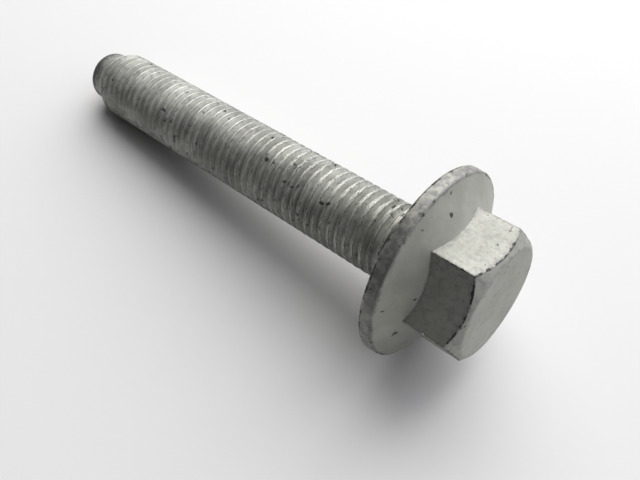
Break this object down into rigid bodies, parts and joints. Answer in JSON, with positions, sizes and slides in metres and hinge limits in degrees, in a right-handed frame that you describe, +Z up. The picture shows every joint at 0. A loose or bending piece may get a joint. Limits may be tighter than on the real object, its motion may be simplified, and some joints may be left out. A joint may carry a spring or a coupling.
{
  "type": "hex flange bolt",
  "caption": "Hex bolt with a wide conical flange forged under its head, a fully threaded fine-pitch shank, a short lead-in cone and a rounded pilot point.",
  "frame": {"origin": "the middle of the flange's bearing face, on the bolt's axis", "axes": "+X along the bolt's axis, out of the top of the head; -X runs down the shank to the pilot point; +Z up"},
  "size_m": [0.0869, 0.0292, 0.0292],
  "materials": {
    "zinc_flake_steel": "forged and rolled steel under a matt silver-grey zinc-flake coating, worn dark along its edges"
  },
  "bodies": {
    "root": {"hex_head": "zinc_flake_steel", "flange": "zinc_flake_steel", "neck": "zinc_flake_steel", "threaded_shank": "zinc_flake_steel", "pilot_point": "zinc_flake_steel"}
  },
  "joints": []
}
